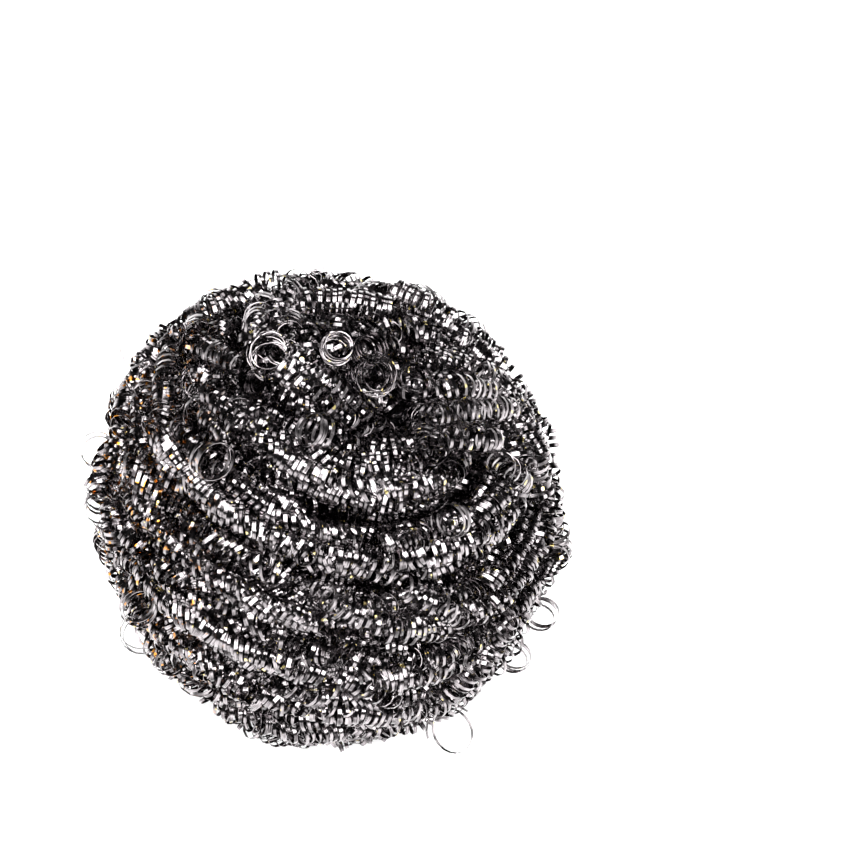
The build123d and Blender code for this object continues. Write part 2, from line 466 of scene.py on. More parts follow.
@dataclass
class RibbonMesh:
    """Gathers runs of flat ribbon and makes one closed mesh of them.

    Attributes:
        form: The ball, which settles on what it rests on.
        width: The ribbon's width.
        thickness: The ribbon's thickness.
        shortest: How many points a run has at least.
        pockets: Lines, and the radius of the room round each that other ribbon stays out of.
        runs: The middle line of each run, and the side that its flat face looks to.
    """

    form: BallForm
    width: float = 0.47
    thickness: float = 0.06
    shortest: int = 6
    pockets: Sequence[tuple[np.ndarray, float]] = ()
    runs: list[tuple[np.ndarray, np.ndarray]] = field(default_factory=list)

    def lay(self, points: np.ndarray, faces: np.ndarray, kept: bool = True) -> None:
        """Adds one run of ribbon.

        Args:
            points: Its middle line.
            faces: The side that its flat face looks to at each point.
            kept: Whether it stays whole where a tidy coil lies.
        """
        hidden = np.zeros(len(points), dtype=bool)
        for line, reach in () if kept else self.pockets:
            length = np.linalg.norm(line[0] - line[-1]) + reach
            near = np.flatnonzero(np.linalg.norm(points - line[len(line) // 2], axis=1) < length)
            gaps = np.linalg.norm(points[near, None] - line[None], axis=2).min(axis=1)
            hidden[near[gaps < reach]] = True
        settled = self.form.settle(points)
        for run in np.split(np.arange(len(points)), np.flatnonzero(np.diff(hidden)) + 1):
            if not hidden[run[0]] and len(run) >= self.shortest:
                self.runs.append((settled[run], faces[run]))

    def edges(self, points: np.ndarray, faces: np.ndarray) -> np.ndarray:
        """The ribbon's four edges along a run.

        Args:
            points: The run's middle line.
            faces: The side that its flat face looks to at each point.

        Returns:
            Four points beside each one of the line.
        """
        ways = unit(np.gradient(points, axis=0))
        out = across(faces, ways)
        side = np.cross(ways, out) * self.width / 2
        out = out * self.thickness / 2
        return np.stack([points + right * side + up * out for right, up in EDGES], axis=1)

    def places(self, points: np.ndarray) -> np.ndarray:
        """Where the corners of a run's side faces lie, across and along the ribbon."""
        around = self.width + self.thickness
        edge = np.array([0, self.width, around, around + self.width, 2 * around])
        grid = np.stack(np.meshgrid(edge, distances(points)), axis=-1)
        face = [grid[:-1, :-1], grid[1:, :-1], grid[1:, 1:], grid[:-1, 1:]]
        return np.stack(face, axis=2).reshape(-1, 2)

    def build(self, name: str) -> bpy.types.Object:
        """Makes the mesh, with one UV map that gives each stretch a cell and one that runs along the ribbon.

        Args:
            name: The piece's name.

        Returns:
            The new object, linked to the scene.
        """
        turn = np.arange(SECTION)
        onward = (turn + 1) % SECTION
        sides, caps, first = [], [], 0
        for points, _ in self.runs:
            low = first + SECTION * np.arange(len(points) - 1)[:, None]
            high = low + SECTION
            sides.append(np.stack([low + turn, high + turn, high + onward, low + onward], 2).reshape(-1, 4))
            caps += [first + turn, high[-1] + turn[::-1]]
            first += SECTION * len(points)
        polygons = np.concatenate([*sides, np.array(caps)])
        vertices = np.concatenate([self.edges(points, faces) for points, faces in self.runs])
        mesh = bpy.data.meshes.new(name)
        mesh.vertices.add(first)
        mesh.vertices.foreach_set("co", vertices.ravel() * MM)
        mesh.loops.add(polygons.size)
        mesh.loops.foreach_set("vertex_index", polygons.ravel().astype(np.int32))
        mesh.polygons.add(len(polygons))
        mesh.polygons.foreach_set("loop_start", np.arange(0, polygons.size, 4, dtype=np.int32))
        mesh.polygons.foreach_set("use_smooth", np.ones(len(polygons), dtype=bool))
        mesh.update(calc_edges=True)
        ends = np.empty(2 * len(mesh.edges), dtype=np.int32)
        mesh.edges.foreach_get("vertices", ends)
        ends = ends.reshape(-1, 2)
        sharp = ends[:, 0] % SECTION == ends[:, 1] % SECTION
        mesh.attributes.new("sharp_edge", "BOOLEAN", "EDGE").data.foreach_set("value", sharp)
        run = np.concatenate([self.places(points) for points, _ in self.runs])
        self.unwrap(mesh, run, (len(polygons) - len(caps)) // SECTION, len(caps))
        return linked(name, mesh)

    @staticmethod
    def unwrap(mesh: bpy.types.Mesh, run: np.ndarray, stretches: int, caps: int) -> None:
        """Writes the two UV maps.

        Args:
            mesh: The mesh.
            run: The place of each side face's corners, across and along the ribbon.
            stretches: How many stretches the ribbons have.
            caps: How many end faces.
        """
        cells = math.ceil(math.sqrt(stretches + caps))
        index = np.arange(stretches + caps)
        low = np.stack([index % cells, index // cells], 1)
        near, far = STRIP_ENDS
        strips = [((left, near), (left, far), (right, far), (right, near)) for left, right in STRIPS]
        side = (low[:stretches, None, None] + np.array(strips)).reshape(-1, 2) / cells
        near, far = CAP_ENDS
        cap = np.array([(near, near), (near, far), (far, far), (far, near)])
        end = (low[stretches:, None] + cap).reshape(-1, 2) / cells
        for name, places in (
            ("OFBake", np.concatenate([side, end])),
            ("RibbonRun", np.concatenate([run, np.zeros_like(end)])),
        ):
            mesh.uv_layers.new(name=name).data.foreach_set("uv", places.ravel().astype(np.float32))


@dataclass(frozen=True)
class Curls:
    """A row of curls that a ribbon makes along a rope.

    Attributes:
        angle: Where the row lies round the rope, in degrees from the outer side.
        offset: How far its middle lies from the rope's.
        radius: The curls' radius.
        pitch: The distance from curl to curl.
        tilt: How far the curls lean, in radians.
        steps: How many straight stretches a curl has.
        spread: How far the radius varies, as a share.
        sway: How far the row wanders round the rope, in degrees.
        heave: How far the row rises and sinks along the rope.
        ruffled_below: The height under which the curls lean more and lie further apart.
        ruffled_ramp: How soon they do so below it.
        ruffled_pitch: How much further apart they lie at the base, as a share.
        ruffled_tilt: How much more they lean there, as a share.
        grid_step: The distance between the places where the pitch is worked out.
        pitches: How the pitch wanders along the rope.
        sways: How the sway does.
        offsets: How the offset does.
        heaves: How the heave does.
        leans: How the tilt does.
        sizes: How the radius wanders from curl to curl.
        rolls: How the ribbon's flat face turns from curl to curl.
    """

    angle: float
    offset: float = 2.4
    radius: float = 1.75
    pitch: float = 0.9
    tilt: float = 0.3
    steps: int = 13
    spread: float = 0.17
    sway: float = 12
    heave: float = 0
    ruffled_below: float = 27
    ruffled_ramp: float = 1.6
    ruffled_pitch: float = 0.3
    ruffled_tilt: float = 1.6
    grid_step: float = 0.25
    pitches: tuple[Wander, ...] = (Wander(5, 0.28), Wander(1.3, 0.16))
    sways: Wander = Wander(14)
    offsets: Wander = Wander(4, 0.35)
    heaves: Wander = Wander(9)
    leans: Wander = Wander(3.4)
    sizes: Wander = Wander(1.1)
    rolls: Wander = Wander(0.7, 0.14)

    def lay(self, rope: Rope, mesh: RibbonMesh, rng: np.random.Generator, kept: bool = False) -> None:
        """Winds the curls along a rope.

        Args:
            rope: The rope's line.
            mesh: What gathers the ribbon.
            rng: The seeded random numbers.
            kept: Whether the curls stay whole where a tidy coil lies.
        """
        grid = np.arange(0, rope.places[-1], self.grid_step)
        under = self.ruffled_below - rope.at(grid)[0][:, 2]
        low = np.clip(under / self.ruffled_below * self.ruffled_ramp, 0, 1)
        change = np.exp(sum(pitch.along(rng, grid) for pitch in self.pitches))
        pitch = self.pitch * (1 + self.ruffled_pitch * low) * change
        spin = np.cumsum(2 * np.pi / pitch * self.grid_step)
        count = int((spin[-1] - spin[0]) / (2 * np.pi) * self.steps)
        spins = spin[0] + np.arange(count) * 2 * np.pi / self.steps
        places = np.interp(spins, spin, grid)
        middle, ways, outs = rope.at(places)
        sides = np.cross(ways, outs)
        turns = spins / (2 * np.pi)
        round_rope = np.radians(self.angle + self.sway * self.sways.along(rng, places))[:, None]
        offset = self.offset + self.offsets.along(rng, places) + self.heave * self.heaves.along(rng, places)
        away = np.cos(round_rope) * outs + np.sin(round_rope) * sides
        tilt = self.tilt * (1 + self.ruffled_tilt * np.interp(places, grid, low))
        lean = [(tilt * self.leans.along(rng, places))[:, None] for _ in range(2)]
        axis = unit(ways + lean[0] * outs + lean[1] * sides)
        first = across(away, axis)
        second = np.cross(axis, first)
        radius = self.radius * np.exp(self.spread * self.sizes.along(rng, turns))[:, None]
        radial = np.cos(spins)[:, None] * first + np.sin(spins)[:, None] * second
        roll = self.rolls.along(rng, turns)[:, None]
        mesh.lay(middle + away * offset[:, None] + radial * radius, unit(radial + roll * axis), kept)


@dataclass(frozen=True)
class DrawnSteelRibbon:
    """Stainless steel wire rolled flat: bright, with fine streaks along it from the rolls and painted
    reflections.

    Attributes:
        name: The material's name.
        light: The steel's colour where it is bright.
        dark: A painted dark reflection, the colour of the dark lengths of ribbon.
        painted_yellow_glint: A painted glint, pale yellow as a warm reflection.
        painted_orange_glint: A painted glint, orange as a warm reflection.
        roughness: The middle roughness.
        streak_mm: The streaks' width.
        streak_length_mm: Their length.
        painted_reflection_mm: The distance over which the painted dark reflection changes.
        painted_yellow_glint_mm: The distance between the painted pale yellow glints.
        painted_orange_glint_mm: The distance between the painted orange glints.
        orange_glint_side_mm: Where the painted orange glints start and are full, left of the ball's middle.
        relief_mm: The streaks' depth in the light.
    """

    name: str = "rolled_steel_ribbon_painted_reflections"
    light: str = "#A09A9C"
    dark: str = "#282526"
    painted_yellow_glint: str = "#D9C98A"
    painted_orange_glint: str = "#C98632"
    roughness: float = 0.09
    streak_mm: float = 0.09
    streak_length_mm: float = 4.0
    painted_reflection_mm: float = 2.0
    painted_yellow_glint_mm: float = 1 / 0.9
    painted_orange_glint_mm: float = 1 / 1.1
    orange_glint_side_mm: tuple[float, float] = (12, 22)
    relief_mm: float = 0.02

    def material(self) -> bpy.types.Material:
        """Makes the material.

        Returns:
            The new material.
        """
        made = blank(self.name)
        tree = made.node_tree
        run = add(tree, "ShaderNodeUVMap", uv_map="RibbonRun").outputs["UV"]
        place = add(tree, "ShaderNodeTexCoord").outputs["Object"]
        # The rolls leave streaks a tenth of a millimetre wide and some millimetres long
        stretched = add(
            tree, "ShaderNodeMapping",
            {"Vector": run, "Scale": (1 / self.streak_mm, 1 / self.streak_length_mm, 1)},
        )
        streaks = add(
            tree, "ShaderNodeTexNoise",
            {"Vector": stretched.outputs["Vector"], "Scale": 1.0, "Detail": 3.0, "Roughness": 0.6},
        ).outputs["Fac"]
        # Painted dark reflections: lengths of ribbon differ in tone every two millimetres
        lengths = add(tree, "ShaderNodeMapping", {"Vector": run, "Scale": (0.0, 1 / self.painted_reflection_mm, 1)})
        painted_reflection = add(
            tree, "ShaderNodeTexNoise", {"Vector": lengths.outputs["Vector"], "Scale": 1.0, "Detail": 1.0}
        )
        # The tone holds the rolls' real streaks and the painted dark reflections
        tone = add(tree, "ShaderNodeMath", {0: painted_reflection.outputs["Fac"], 1: streaks}, operation="MULTIPLY")
        shade = add(
            tree, "ShaderNodeMapRange", {"Value": tone.outputs[0], "From Min": 0.18, "From Max": 0.32}
        )
        # The steel's colour, with the painted dark reflections mixed in as its dark colour
        steel = add(
            tree, "ShaderNodeMix",
            {"Factor": shade.outputs["Result"], "A": linear(self.dark), "B": linear(self.light)},
            data_type="RGBA",
        )
        # Painted glints: small pale yellow marks stand for warm reflections
        yellow_glint_noise = add(
            tree, "ShaderNodeTexNoise", {"Vector": place, "Scale": 1 / (self.painted_yellow_glint_mm * MM), "Detail": 1.0}
        )
        yellow_glint_mask = add(
            tree, "ShaderNodeMapRange", {"Value": yellow_glint_noise.outputs["Fac"], "From Min": 0.7, "From Max": 0.75}
        )
        painted_yellow_glint = add(
            tree, "ShaderNodeMix",
            {"Factor": yellow_glint_mask.outputs["Result"], "A": steel.outputs["Result"], "B": linear(self.painted_yellow_glint)},
            data_type="RGBA",
        )
        # Painted glints: orange marks left of the ball's middle stand for warm reflections there
        orange_glint_noise = add(
            tree, "ShaderNodeTexNoise", {"Vector": place, "Scale": 1 / (self.painted_orange_glint_mm * MM), "Detail": 0.0}
        )
        start, full = self.orange_glint_side_mm
        side = add(
            tree, "ShaderNodeMapRange",
            {
                "Value": add(tree, "ShaderNodeSeparateXYZ", {"Vector": place}).outputs["X"],
                "From Min": -start * MM, "From Max": -full * MM,
            },
        )
        orange_glint_spots = add(
            tree, "ShaderNodeMapRange", {"Value": orange_glint_noise.outputs["Fac"], "From Min": 0.7, "From Max": 0.76}
        )
        painted_orange_glint = add(
            tree, "ShaderNodeMath",
            {0: side.outputs["Result"], 1: orange_glint_spots.outputs["Result"]}, operation="MULTIPLY",
        )
        # The steel's colour with both kinds of painted glint
        with_painted_glints = add(
            tree, "ShaderNodeMix",
            {"Factor": painted_orange_glint.outputs[0], "A": painted_yellow_glint.outputs["Result"], "B": linear(self.painted_orange_glint)},
            data_type="RGBA",
        )
        rough = add(
            tree, "ShaderNodeMapRange",
            {
                "Value": streaks, "From Min": 0.3, "From Max": 0.7,
                "To Min": self.roughness * 0.7, "To Max": self.roughness * 1.5,
            },
        )
        bump = add(
            tree, "ShaderNodeBump", {"Height": streaks, "Strength": 0.35, "Distance": self.relief_mm * MM}
        )
        shader = add(
            tree, "ShaderNodeBsdfPrincipled",
            {
                "Base Color": with_painted_glints.outputs["Result"], "Roughness": rough.outputs["Result"],
                "Normal": bump.outputs["Normal"], "Metallic": 1.0,
            },
        )
        add(tree, "ShaderNodeOutputMaterial", {"Surface": shader.outputs["BSDF"]})
        return made


@dataclass(frozen=True)
class CoilEnd:
    """The open end of a coil of ribbon that looks out of the winding.

    Attributes:
        right: How far right of the ball's middle it lies, seen as in the photograph.
        up: How far above the middle.
        radius: The coil's radius.
        lean: How far its axis leans over, to the right and up, in radians.
        turns: How many turns of ribbon it shows.
        pitch: The distance from turn to turn.
        sunk: How far its open end lies below the ball's outer side.
        steps: How many straight stretches a turn has.
        room_above: How far above its open end no other ribbon lies.
        room_share: The radius of that room, as a share of the coil's.
        sizes: How the radius wanders from turn to turn.
        drifts: How the turns slide over each other.
    """

    right: float
    up: float
    radius: float
    lean: tuple[float, float]
    turns: int = 9
    pitch: float = 0.42
    sunk: float = 1.4
    steps: int = 18
    room_above: float = 3.0
    room_share: float = 1.02
    sizes: Wander = Wander(1.3, 0.1)
    drifts: Wander = Wander(2, 0.3)

    def stand(self, form: BallForm) -> tuple[np.ndarray, np.ndarray]:
        """Where the coil's open end lies and which way it looks."""
        place, out = form.seen(self.right, self.up)
        first = across(np.array([1.0, 0, 0]), out)
        right, up = self.lean
        return place - out * self.sunk, unit(out + right * first + up * np.cross(out, first))

    def pocket(self, form: BallForm) -> tuple[np.ndarray, float]:
        """The line and the radius of the room that it takes."""
        place, axis = self.stand(form)
        along = np.linspace(-self.turns * self.pitch, self.room_above, 16)
        return place + along[:, None] * axis, self.radius * self.room_share

    def lay(self, form: BallForm, mesh: RibbonMesh, rng: np.random.Generator) -> None:
        """Winds the coil where it stands on the ball.

        Args:
            form: The ball.
            mesh: What gathers the ribbon.
            rng: The seeded random numbers.
        """
        place, axis = self.stand(form)
        first = across(np.array([1.0, 0, 0]), axis)
        second = np.cross(axis, first)
        turns = np.arange(0, self.turns, 1 / self.steps)
        spin = 2 * np.pi * turns[:, None]
        radial = np.cos(spin) * first + np.sin(spin) * second
        radius = self.radius * (1 + self.sizes.along(rng, turns))[:, None]
        drift = [self.drifts.along(rng, turns)[:, None] for _ in range(2)]
        depth = (turns - self.turns)[:, None] * self.pitch
        mesh.lay(place + axis * depth + drift[0] * first + drift[1] * second + radial * radius, radial)


@dataclass(frozen=True)
class TidyCoil:
    """A run of coil that lies on the winding with its curls in order.

    Attributes:
        path: Places right of and above the ball's middle, seen as in the photograph.
        curls: Its curls.
        sunk: How far its middle lies below the ball's outer side.
        steps: How many points its middle line has.
        room_lift: How far above that line the middle of its room lies.
        room_clear: How much wider than its curls the room is.
    """

    path: tuple[tuple[float, float], ...]
    curls: Curls = Curls(0, offset=0, radius=1.75, pitch=1.1, tilt=0.2, spread=0.1, sway=0)
    sunk: float = 1.1
    steps: int = 60
    room_lift: float = 0.5
    room_clear: float = 0.2

    def rope(self, form: BallForm) -> Rope:
        """The coil's middle line."""
        seen = [form.seen(right, up) for right, up in self.path]
        knots = np.array([place - out * self.sunk for place, out in seen])
        outs = np.array([out for _, out in seen])
        share = np.linspace(0, len(knots) - 1, self.steps)
        points, outs = (between(share, np.arange(len(knots)), rows) for rows in (knots, outs))
        ways = unit(np.gradient(points, axis=0))
        return Rope(points, ways, across(outs, ways), distances(points))

    def pocket(self, form: BallForm) -> tuple[np.ndarray, float]:
        """The line, at every third point, and the radius of the room that it takes."""
        line = self.rope(form)
        return (line.points + line.outs * self.room_lift)[::3], self.curls.radius + self.room_clear

    def lay(self, form: BallForm, mesh: RibbonMesh, rng: np.random.Generator) -> None:
        """Winds the coil where it lies on the ball.

        Args:
            form: The ball.
            mesh: What gathers the ribbon.
            rng: The seeded random numbers.
        """
        self.curls.lay(self.rope(form), mesh, rng, kept=True)


@dataclass
class OuterStrand:
    """One rope of the outer winding, made of rows of curled ribbon.

    Attributes:
        number: Which rope, from 1.
        form: The ball.
        coils: The coil ends and tidy coils that lie on it.
        pockets: The room that every coil and opening takes.
        lower_rows: The rows on its inner side and in its middle.
        upper_rows: The rows on its outer side, and a loose one that sways over them.
        seed: What its number is added to for the random numbers.
    """

    number: int
    form: BallForm
    coils: Sequence[CoilEnd | TidyCoil] = ()
    pockets: Sequence[tuple[np.ndarray, float]] = ()
    lower_rows: tuple[Curls, ...] = (
        Curls(-154, tilt=0.55), Curls(0, offset=0.2, radius=1.7, pitch=1.9), Curls(154, tilt=0.5),
    )
    upper_rows: tuple[Curls, ...] = (
        Curls(-103), Curls(-51, tilt=0.5), Curls(0), Curls(51, tilt=0.5), Curls(103),
        Curls(0, offset=2.0, radius=2.0, pitch=2.6, tilt=0.6, spread=0.2, sway=45),
    )
    seed: int = 700

    def build(self, finish: bpy.types.Material) -> list[bpy.types.Object]:
        """Makes the rope's pieces.

        Args:
            finish: The ribbon's material.

        Returns:
            The pieces.
        """
        rng = np.random.default_rng(self.seed + self.number)
        rope = self.form.rope(self.number - 1)
        pieces = []
        for part, rows, coils in (("lower", self.lower_rows, ()), ("upper", self.upper_rows, self.coils)):
            mesh = RibbonMesh(self.form, pockets=self.pockets)
            for row in rows:
                row.lay(rope, mesh, rng)
            for coil in coils:
                coil.lay(self.form, mesh, rng)
            piece = mesh.build(f"outer_strand_{self.number}_{part}_curls")
            piece.data.materials.append(finish)
            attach(piece, "root")
            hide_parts(f"outer_strand_{self.number}")
            pieces.append(piece)
        return pieces


@dataclass
class InnerWinding:
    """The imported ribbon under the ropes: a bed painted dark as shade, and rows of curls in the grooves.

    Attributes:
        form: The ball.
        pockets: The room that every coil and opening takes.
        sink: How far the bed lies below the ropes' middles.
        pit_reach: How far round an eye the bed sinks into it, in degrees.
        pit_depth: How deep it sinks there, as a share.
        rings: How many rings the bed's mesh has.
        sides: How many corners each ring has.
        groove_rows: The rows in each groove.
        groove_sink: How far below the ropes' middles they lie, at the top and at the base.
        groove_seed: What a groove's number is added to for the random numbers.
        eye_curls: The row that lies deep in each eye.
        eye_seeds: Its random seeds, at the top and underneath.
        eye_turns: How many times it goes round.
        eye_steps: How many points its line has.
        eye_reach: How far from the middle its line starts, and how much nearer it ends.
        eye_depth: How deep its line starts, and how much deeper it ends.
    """

    form: BallForm
    pockets: Sequence[tuple[np.ndarray, float]] = ()
    sink: float = 4.6
    pit_reach: float = 34
    pit_depth: float = 0.62
    rings: int = 96
    sides: int = 160
    groove_rows: tuple[Curls, ...] = (
        Curls(0, offset=0.3, radius=1.9, pitch=1.15, tilt=0.6, sway=10, heave=1.1),
        Curls(180, offset=1.6, radius=2.0, pitch=1.6, tilt=0.6, sway=30),
    )
    groove_sink: tuple[float, float] = (2.6, 0.5)
    groove_seed: int = 900
    eye_curls: Curls = Curls(0, offset=0.2, radius=1.7, pitch=1.5, tilt=0.6)
    eye_seeds: tuple[int, int] = (31, 32)
    eye_turns: float = 3.4
    eye_steps: int = 500
    eye_reach: tuple[float, float] = (8.5, 7.3)
    eye_depth: tuple[float, float] = (10.0, 6.0)

    def bed(self, finish: bpy.types.Material) -> bpy.types.Object:
        """Makes the bed that closes the view between the curls, painted near black as the shade there.

        Args:
            finish: Its material.

        Returns:
            The piece.
        """
        polar = np.linspace(0, np.pi, self.rings + 1)[1:-1]
        turn = np.arange(self.sides) * 2 * np.pi / self.sides
        polar, turn = (values.ravel() for values in np.meshgrid(polar, turn, indexing="ij"))
        units = np.stack([np.sin(polar) * np.cos(turn), np.sin(polar) * np.sin(turn), np.cos(polar)], 1)
        units = np.concatenate([[[0, 0, 1.0]], units, [[0, 0, -1.0]]])
        radii = self.form.radii - self.sink
        points = units * (radii + self.form.swell(units)[:, None] * [1, 1, 0])
        for way in (self.form.axis, -self.form.axis):
            away = np.degrees(np.arccos(np.clip(units @ way, -1, 1)))
            share = np.clip(1 - away / self.pit_reach, 0, 1)
            points *= (1 - self.pit_depth * ease(share))[:, None]
        points = self.form.settle(points + self.form.centre) * MM
        last = len(units) - 1
        start = last - self.sides
        around = [(i, (i + 1) % self.sides) for i in range(self.sides)]
        faces = [[0, 1 + i, 1 + j] for i, j in around]
        faces += [
            [row + i, row + self.sides + i, row + self.sides + j, row + j]
            for row in range(1, start, self.sides) for i, j in around
        ]
        faces += [[last, start + j, start + i] for i, j in around]
        mesh = bpy.data.meshes.new("inner_winding_bed")
        mesh.from_pydata(points.tolist(), [], faces)
        mesh.shade_smooth()
        mesh.materials.append(finish)
        return linked("inner_winding_bed", mesh)

    def eye_spiral(self, sign: int) -> Rope:
        """The line of the curls that lie deep in an eye.

        Args:
            sign: 1 for the eye at the top, -1 for the one underneath.

        Returns:
            The line, from the rim down to the middle.
        """
        axis = self.form.axis * sign
        pole = self.form.surface(axis[None])[0]
        share = np.linspace(0, 1, self.eye_steps)[:, None]
        spin = share * 2 * np.pi * self.eye_turns
        reach = self.eye_reach[0] - self.eye_reach[1] * share
        depth = self.eye_depth[0] + self.eye_depth[1] * share
        rim = self.form.side * np.cos(spin) + self.form.along * np.sin(spin)
        points = pole - axis * depth + rim * reach
        ways = unit(np.gradient(points, axis=0))
        outs = across(np.repeat(axis[None], len(points), 0), ways)
        return Rope(points, ways, outs, distances(points))

    def build(self, bed_painted_shade: bpy.types.Material, ribbon: bpy.types.Material) -> list[bpy.types.Object]:
        """Makes the bed, the curls in the grooves and those in the eyes.

        Args:
            bed_painted_shade: The bed's material, which paints the shade deep inside.
            ribbon: The curls' material.

        Returns:
            The pieces.
        """
        pieces = [self.bed(bed_painted_shade)]
        for rope in range(self.form.rope_count):
            rng = np.random.default_rng(self.groove_seed + rope)
            mesh = RibbonMesh(self.form, pockets=self.pockets)
            line = self.form.rope(rope + 0.5, sink=self.groove_sink, tucked=False)
            for row in self.groove_rows:
                row.lay(line, mesh, rng)
            pieces.append(mesh.build(f"groove_{rope + 1}_curls"))
        mesh = RibbonMesh(self.form)
        for sign, seed in zip((1, -1), self.eye_seeds):
            self.eye_curls.lay(self.eye_spiral(sign), mesh, np.random.default_rng(seed))
        pieces.append(mesh.build("eye_curls"))
        for piece in pieces[1:]:
            piece.data.materials.append(ribbon)
        for piece in pieces:
            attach(piece, "root")
            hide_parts("inner_winding")
        return pieces


@dataclass(frozen=True)
class PackedSteelPaintedShade:
    """Painted shade for ribbon packed so close that little light leaves it: nearly black, with small painted
    dull glints.

    Attributes:
        name: The material's name.
        dark: Painted shade, the colour between the edges of the ribbon.
        painted_glint: A painted highlight, the colour of the edges.
        edge_mm: The distance from edge to edge.
        relief_mm: The edges' height in the light.
    """

    name: str = "packed_ribbon_painted_shade"
    dark: str = "#0E0D10"
    painted_glint: str = "#242225"
    edge_mm: float = 1 / 1.4
    relief_mm: float = 0.3

    def material(self) -> bpy.types.Material:
        """Makes the material.

        Returns:
            The new material.
        """
        made = blank(self.name)
        tree = made.node_tree
        place = add(tree, "ShaderNodeTexCoord").outputs["Object"]
        # Painted glints: the edges of the ribbon are coloured lighter, as if they caught a little light
        packed = add(
            tree, "ShaderNodeTexVoronoi",
            {"Vector": place, "Scale": 1 / (self.edge_mm * MM)}, feature="DISTANCE_TO_EDGE",
        )
        edges = add(
            tree, "ShaderNodeMapRange",
            {
                "Value": packed.outputs["Distance"], "From Min": 0.02, "From Max": 0.12,
                "To Min": 1.0, "To Max": 0.0,
            },
        ).outputs["Result"]
        colour = add(
            tree, "ShaderNodeMix",
            {"Factor": edges, "A": linear(self.dark), "B": linear(self.painted_glint)}, data_type="RGBA",
        )
        bump = add(
            tree, "ShaderNodeBump", {"Height": edges, "Strength": 0.8, "Distance": self.relief_mm * MM}
        )
        shader = add(
            tree, "ShaderNodeBsdfPrincipled",
            {
                "Base Color": colour.outputs["Result"], "Roughness": 0.55, "Metallic": 0.9,
                "Normal": bump.outputs["Normal"],
            },
        )
        add(tree, "ShaderNodeOutputMaterial", {"Surface": shader.outputs["BSDF"]})
        return made


# Coils of ribbon that end round the eye
COIL_ENDS = (
    CoilEnd(-8.1, 20.6, 2.4, (0.1, -0.5)), CoilEnd(-10.0, 17.0, 1.9, (-0.2, -0.4)),
    CoilEnd(1.4, 22.2, 1.9, (0.1, -0.5), sunk=2.2), CoilEnd(6.0, 22.2, 1.9, (0.2, -0.3), sunk=1.8),
    CoilEnd(7.1, 18.4, 2.4, (0.1, -0.4), sunk=2.4), CoilEnd(12.3, 18.3, 2.0, (-0.3, -0.2), sunk=2.0),
    CoilEnd(17.7, 17.7, 1.9, (-0.4, -0.1)),
)
# The curls of a coil that lies near the outline
RUFFLED = Curls(0, offset=0, radius=1.75, pitch=0.7, tilt=0.5, spread=0.15, sway=0)
# The curls of a coil that crosses the grooves lower down
LOOSE = Curls(0, offset=0, radius=1.9, pitch=1.25, tilt=0.45, spread=0.2, sway=0)
# Runs of coil that lie on the winding
TIDY_COILS = (
    TidyCoil(((10.4, 15.6), (16.0, 16.2), (21.5, 15.6))),
    TidyCoil(((13.4, 12.4), (19.0, 13.4), (24.2, 13.6))),
    TidyCoil(((14.7, 9.6), (22.5, 9.4))), TidyCoil(((19.5, 19.3), (22.6, 16.6)), sunk=1.5),
    TidyCoil(((-22.8, 19.9), (-23.9, 14.8), (-24.5, 8.9))),
    TidyCoil(((-19.9, 22.5), (-21.0, 16.7), (-21.6, 11.6))),
    TidyCoil(((-16.9, 22.2), (-14.2, 20.6), (-11.3, 18.8))),
    TidyCoil(((-28.4, 12.1), (-29.5, 8.6), (-29.7, 4.3))),
    TidyCoil(((-28.4, 1.5), (-27.9, -2.1), (-27.4, -5.5))),
    TidyCoil(((-20.5, 24.0), (-16.5, 27.0), (-11.5, 29.5), (-6.0, 31.0)), RUFFLED, 0.1),
    TidyCoil(((-27.0, 13.5), (-24.2, 19.0), (-20.5, 24.0)), RUFFLED, 0.0),
    TidyCoil(((-17.5, 24.2), (-12.5, 27.2), (-7.5, 28.6)), RUFFLED, 0.6),
    TidyCoil(((-24.5, 17.0), (-21.5, 21.0), (-18.5, 23.6)), sunk=0.8),
    TidyCoil(((-26.5, 15.0), (-27.2, 10.0), (-27.4, 5.0)), sunk=0.9),
    TidyCoil(((8.0, 29.0), (13.5, 26.0), (18.5, 22.0)), sunk=0.6),
    TidyCoil(((-4.0, 27.0), (2.0, 27.5), (8.0, 26.6)), sunk=0.8),
    TidyCoil(((25.5, 12.0), (27.5, 7.0), (28.5, 1.5))), TidyCoil(((22.5, 6.5), (26.5, 3.5))),
    TidyCoil(((-23.0, -6.0), (-16.5, -9.9)), LOOSE), TidyCoil(((-14.5, -11.2), (-4.8, -17.1)), LOOSE),
    TidyCoil(((-14.5, -3.9), (-4.8, -8.2)), LOOSE), TidyCoil(((-1.0, -10.0), (8.3, -15.6)), LOOSE),
    TidyCoil(((9.5, -9.2), (17.9, -14.4)), LOOSE), TidyCoil(((-18.4, -17.7), (-10.0, -22.9)), LOOSE),
    TidyCoil(((0.4, -21.6), (9.5, -24.2)), LOOSE),
    TidyCoil(((24.0, -13.5), (20.5, -18.5), (15.5, -23.5)), RUFFLED, 0.2),
    TidyCoil(((-29.0, 9.5), (-29.3, 4.5), (-29.0, 0.0)), RUFFLED, 0.2),
    TidyCoil(((29.6, 3.0), (30.0, -3.0), (28.5, -8.5)), RUFFLED, 0.3),
)
